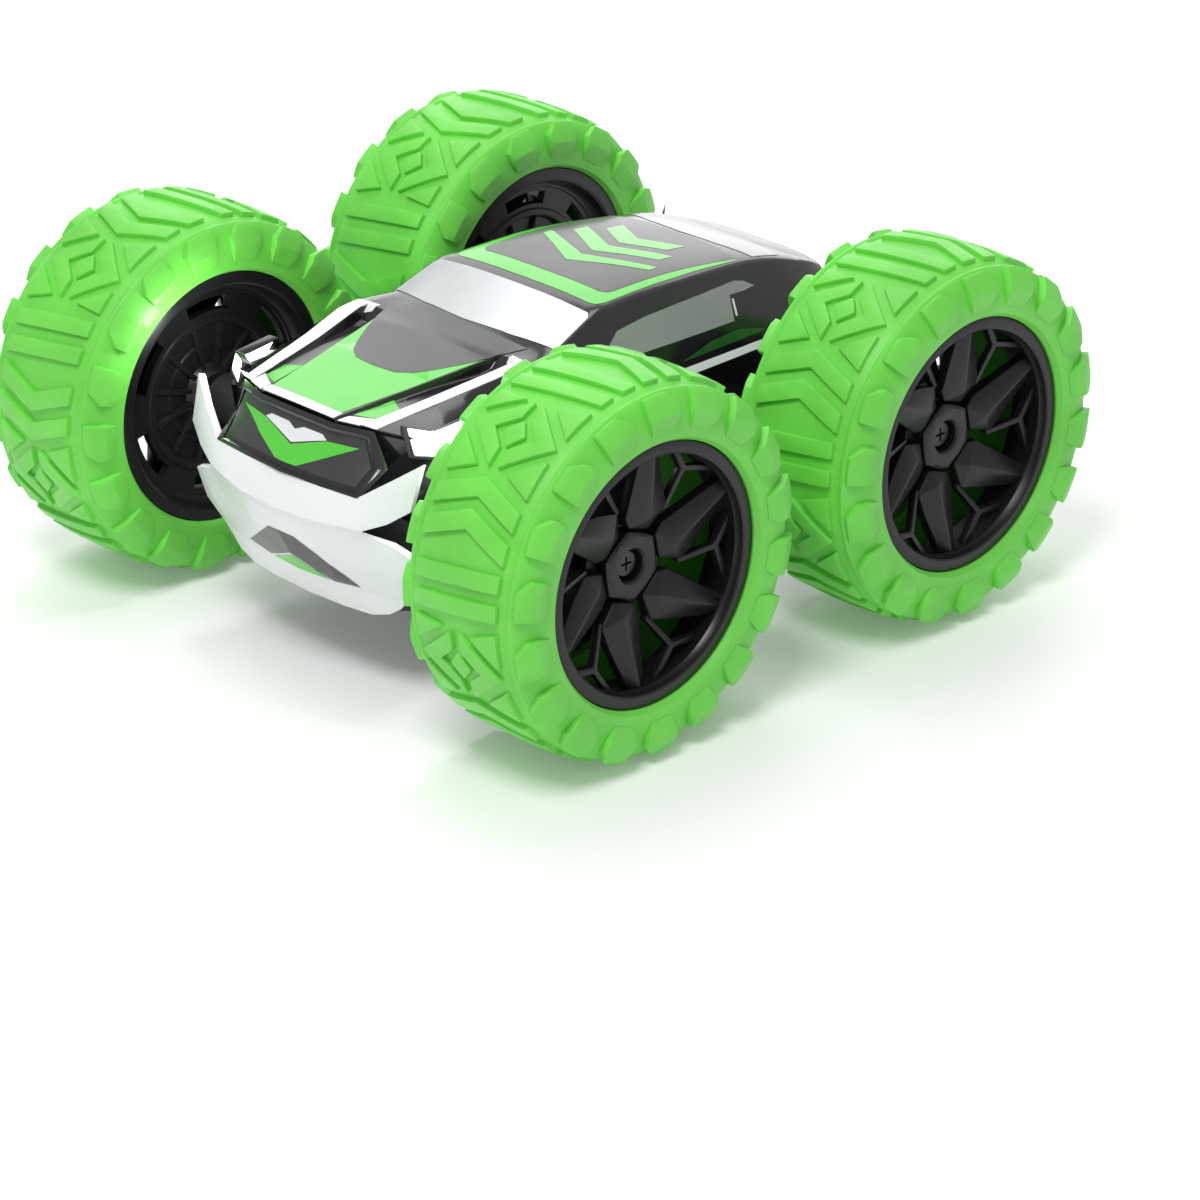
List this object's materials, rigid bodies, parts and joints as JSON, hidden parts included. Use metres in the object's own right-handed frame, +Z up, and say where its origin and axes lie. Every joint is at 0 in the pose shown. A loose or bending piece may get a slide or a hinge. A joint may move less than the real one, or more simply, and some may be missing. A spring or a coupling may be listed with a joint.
{
  "type": "remote control stunt car",
  "caption": "Low toy car with large soft lug tyres standing above and below a slim body, so it drives on either side; geared motors inside, battery door and switch underneath.",
  "frame": {"origin": "on the ground under the middle of the car", "axes": "the car faces -Y, +X is its left side, +Z is up"},
  "size_m": [0.1824, 0.1904, 0.088],
  "materials": {
    "tyre_green": "matte",
    "rim_black": "satin",
    "axle_steel": "ground",
    "screw_steel": "black oxide",
    "gear_nylon": "smooth",
    "motor_can": "plated",
    "rotor_metal": "wound copper, steel shaft and brass pinion",
    "case_plastic": "fine texture",
    "bush_brass": "turned",
    "body_black": "gloss",
    "lens_clear": "clear",
    "bumper_white": "gloss",
    "grille_black": "gloss",
    "led_white": "clear moulded",
    "board_green": "solder mask",
    "battery_wrap": "shrink wrap",
    "door_black": "fine texture",
    "switch_black": "smooth",
    "knob_white": "smooth",
    "wire_red": "smooth"
  },
  "bodies": {
    "chassis": {"motor_left": "motor_can", "gear_case_left": "case_plastic", "gear_cover_left": "case_plastic", "gear_pins_left": "axle_steel", "motor_right": "motor_can", "gear_case_right": "case_plastic", "gear_cover_right": "case_plastic", "gear_pins_right": "axle_steel", "axle_bushes": "bush_brass", "upper_shell": "body_black", "headlight_lenses": "lens_clear", "lower_shell": "body_black", "nose_bumper": "bumper_white", "tail_bumper": "bumper_white", "grille_panel": "grille_black", "headlight_leds": "led_white", "circuit_board": "board_green", "battery_pack": "battery_wrap", "case_screws": "screw_steel", "power_switch": "switch_black", "wiring": "wire_red"},
    "wheel_front_left": {"tyre_front_left": "tyre_green", "outer_rim_front_left": "rim_black", "inner_rim_front_left": "rim_black", "axle_front_left": "axle_steel", "wheel_screw_front_left": "screw_steel", "axle_gear_front_left": "gear_nylon"},
    "near_idler_front_left": {"near_idler_front_left": "gear_nylon"},
    "far_idler_front_left": {"far_idler_front_left": "gear_nylon"},
    "wheel_rear_left": {"tyre_rear_left": "tyre_green", "outer_rim_rear_left": "rim_black", "inner_rim_rear_left": "rim_black", "axle_rear_left": "axle_steel", "wheel_screw_rear_left": "screw_steel", "axle_gear_rear_left": "gear_nylon"},
    "near_idler_rear_left": {"near_idler_rear_left": "gear_nylon"},
    "far_idler_rear_left": {"far_idler_rear_left": "gear_nylon"},
    "double_gear_left": {"double_gear_left": "gear_nylon"},
    "motor_rotor_left": {"motor_rotor_left": "rotor_metal"},
    "wheel_front_right": {"tyre_front_right": "tyre_green", "outer_rim_front_right": "rim_black", "inner_rim_front_right": "rim_black", "axle_front_right": "axle_steel", "wheel_screw_front_right": "screw_steel", "axle_gear_front_right": "gear_nylon"},
    "near_idler_front_right": {"near_idler_front_right": "gear_nylon"},
    "far_idler_front_right": {"far_idler_front_right": "gear_nylon"},
    "wheel_rear_right": {"tyre_rear_right": "tyre_green", "outer_rim_rear_right": "rim_black", "inner_rim_rear_right": "rim_black", "axle_rear_right": "axle_steel", "wheel_screw_rear_right": "screw_steel", "axle_gear_rear_right": "gear_nylon"},
    "near_idler_rear_right": {"near_idler_rear_right": "gear_nylon"},
    "far_idler_rear_right": {"far_idler_rear_right": "gear_nylon"},
    "double_gear_right": {"double_gear_right": "gear_nylon"},
    "motor_rotor_right": {"motor_rotor_right": "rotor_metal"},
    "battery_door": {"battery_door": "door_black", "battery_door_screw": "screw_steel"},
    "power_switch_knob": {"power_switch_knob": "knob_white"}
  },
  "joints": [
    {"name": "front_left_wheel_spin", "type": "hinge", "parent": "chassis", "child": "wheel_front_left", "pos_m": [0.0713, -0.0512, 0.044], "axis": [1, 0, 0], "continuous": true},
    {"name": "near_idler_front_left_spin", "type": "hinge", "parent": "chassis", "child": "near_idler_front_left", "pos_m": [0.0265, -0.0136, 0.044], "axis": [1, 0, 0], "continuous": true},
    {"name": "far_idler_front_left_spin", "type": "hinge", "parent": "chassis", "child": "far_idler_front_left", "pos_m": [0.0265, -0.0312, 0.044], "axis": [1, 0, 0], "continuous": true},
    {"name": "rear_left_wheel_spin", "type": "hinge", "parent": "chassis", "child": "wheel_rear_left", "pos_m": [0.0713, 0.0512, 0.044], "axis": [1, 0, 0], "continuous": true},
    {"name": "near_idler_rear_left_spin", "type": "hinge", "parent": "chassis", "child": "near_idler_rear_left", "pos_m": [0.0265, 0.0136, 0.044], "axis": [1, 0, 0], "continuous": true},
    {"name": "far_idler_rear_left_spin", "type": "hinge", "parent": "chassis", "child": "far_idler_rear_left", "pos_m": [0.0265, 0.0312, 0.044], "axis": [1, 0, 0], "continuous": true},
    {"name": "double_gear_left_spin", "type": "hinge", "parent": "chassis", "child": "double_gear_left", "pos_m": [0.0256, 0, 0.044], "axis": [1, 0, 0], "continuous": true},
    {"name": "motor_rotor_left_spin", "type": "hinge", "parent": "chassis", "child": "motor_rotor_left", "pos_m": [0.01, -0.01083, 0.05025], "axis": [1, 0, 0], "continuous": true},
    {"name": "front_right_wheel_spin", "type": "hinge", "parent": "chassis", "child": "wheel_front_right", "pos_m": [-0.0713, -0.0512, 0.044], "axis": [1, 0, 0], "continuous": true},
    {"name": "near_idler_front_right_spin", "type": "hinge", "parent": "chassis", "child": "near_idler_front_right", "pos_m": [-0.0265, -0.0136, 0.044], "axis": [1, 0, 0], "continuous": true},
    {"name": "far_idler_front_right_spin", "type": "hinge", "parent": "chassis", "child": "far_idler_front_right", "pos_m": [-0.0265, -0.0312, 0.044], "axis": [1, 0, 0], "continuous": true},
    {"name": "rear_right_wheel_spin", "type": "hinge", "parent": "chassis", "child": "wheel_rear_right", "pos_m": [-0.0713, 0.0512, 0.044], "axis": [1, 0, 0], "continuous": true},
    {"name": "near_idler_rear_right_spin", "type": "hinge", "parent": "chassis", "child": "near_idler_rear_right", "pos_m": [-0.0265, 0.0136, 0.044], "axis": [1, 0, 0], "continuous": true},
    {"name": "far_idler_rear_right_spin", "type": "hinge", "parent": "chassis", "child": "far_idler_rear_right", "pos_m": [-0.0265, 0.0312, 0.044], "axis": [1, 0, 0], "continuous": true},
    {"name": "double_gear_right_spin", "type": "hinge", "parent": "chassis", "child": "double_gear_right", "pos_m": [-0.0256, 0, 0.044], "axis": [1, 0, 0], "continuous": true},
    {"name": "motor_rotor_right_spin", "type": "hinge", "parent": "chassis", "child": "motor_rotor_right", "pos_m": [-0.01, 0.01083, 0.05025], "axis": [1, 0, 0], "continuous": true},
    {"name": "battery_door_hinge", "type": "hinge", "parent": "chassis", "child": "battery_door", "pos_m": [0, -0.0344, 0.0135], "axis": [-1, 0, 0], "range_deg": [0, 80]},
    {"name": "power_switch_slide", "type": "slide", "parent": "chassis", "child": "power_switch_knob", "axis": [0, 1, 0], "range_m": [0, 0.004]}
  ],
  "couplings": [
    {"joint": "near_idler_front_left_spin", "follows": "front_left_wheel_spin", "ratio": 1.2727},
    {"joint": "far_idler_front_left_spin", "follows": "front_left_wheel_spin", "ratio": -1.2727},
    {"joint": "rear_left_wheel_spin", "follows": "front_left_wheel_spin", "ratio": 1},
    {"joint": "near_idler_rear_left_spin", "follows": "front_left_wheel_spin", "ratio": 1.2727},
    {"joint": "far_idler_rear_left_spin", "follows": "front_left_wheel_spin", "ratio": -1.2727},
    {"joint": "double_gear_left_spin", "follows": "front_left_wheel_spin", "ratio": -2.3333},
    {"joint": "motor_rotor_left_spin", "follows": "front_left_wheel_spin", "ratio": 9.3333},
    {"joint": "near_idler_front_right_spin", "follows": "front_right_wheel_spin", "ratio": 1.2727},
    {"joint": "far_idler_front_right_spin", "follows": "front_right_wheel_spin", "ratio": -1.2727},
    {"joint": "rear_right_wheel_spin", "follows": "front_right_wheel_spin", "ratio": 1},
    {"joint": "near_idler_rear_right_spin", "follows": "front_right_wheel_spin", "ratio": 1.2727},
    {"joint": "far_idler_rear_right_spin", "follows": "front_right_wheel_spin", "ratio": -1.2727},
    {"joint": "double_gear_right_spin", "follows": "front_right_wheel_spin", "ratio": -2.3333},
    {"joint": "motor_rotor_right_spin", "follows": "front_right_wheel_spin", "ratio": 9.3333}
  ]
}
